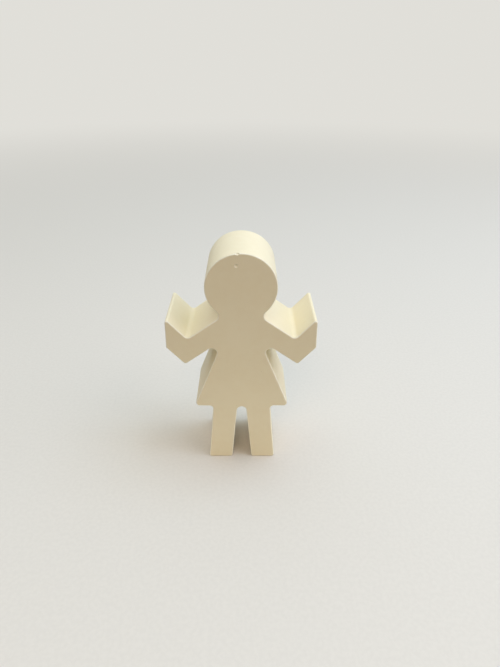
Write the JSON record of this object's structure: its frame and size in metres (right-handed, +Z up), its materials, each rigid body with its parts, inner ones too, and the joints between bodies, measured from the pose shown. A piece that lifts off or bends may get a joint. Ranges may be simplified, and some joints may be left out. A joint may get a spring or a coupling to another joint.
{
  "type": "girl figurine",
  "caption": "Free-standing ivory figurine of a stylised girl with raised bent arms and an A-line dress, a hollow shell closed by a flat back cover.",
  "frame": {"origin": "on the ground, midway between the soles and halfway through the figure's depth", "axes": "+Z up from the soles to the crown; the figure faces -Y; +X is to the right of someone looking at its front"},
  "size_m": [0.0454, 0.02, 0.074],
  "materials": {
    "ivory_plastic": "satin moulded ivory with a faint sheen"
  },
  "bodies": {
    "root": {"front_shell": "ivory_plastic", "back_cover": "ivory_plastic"}
  },
  "joints": []
}
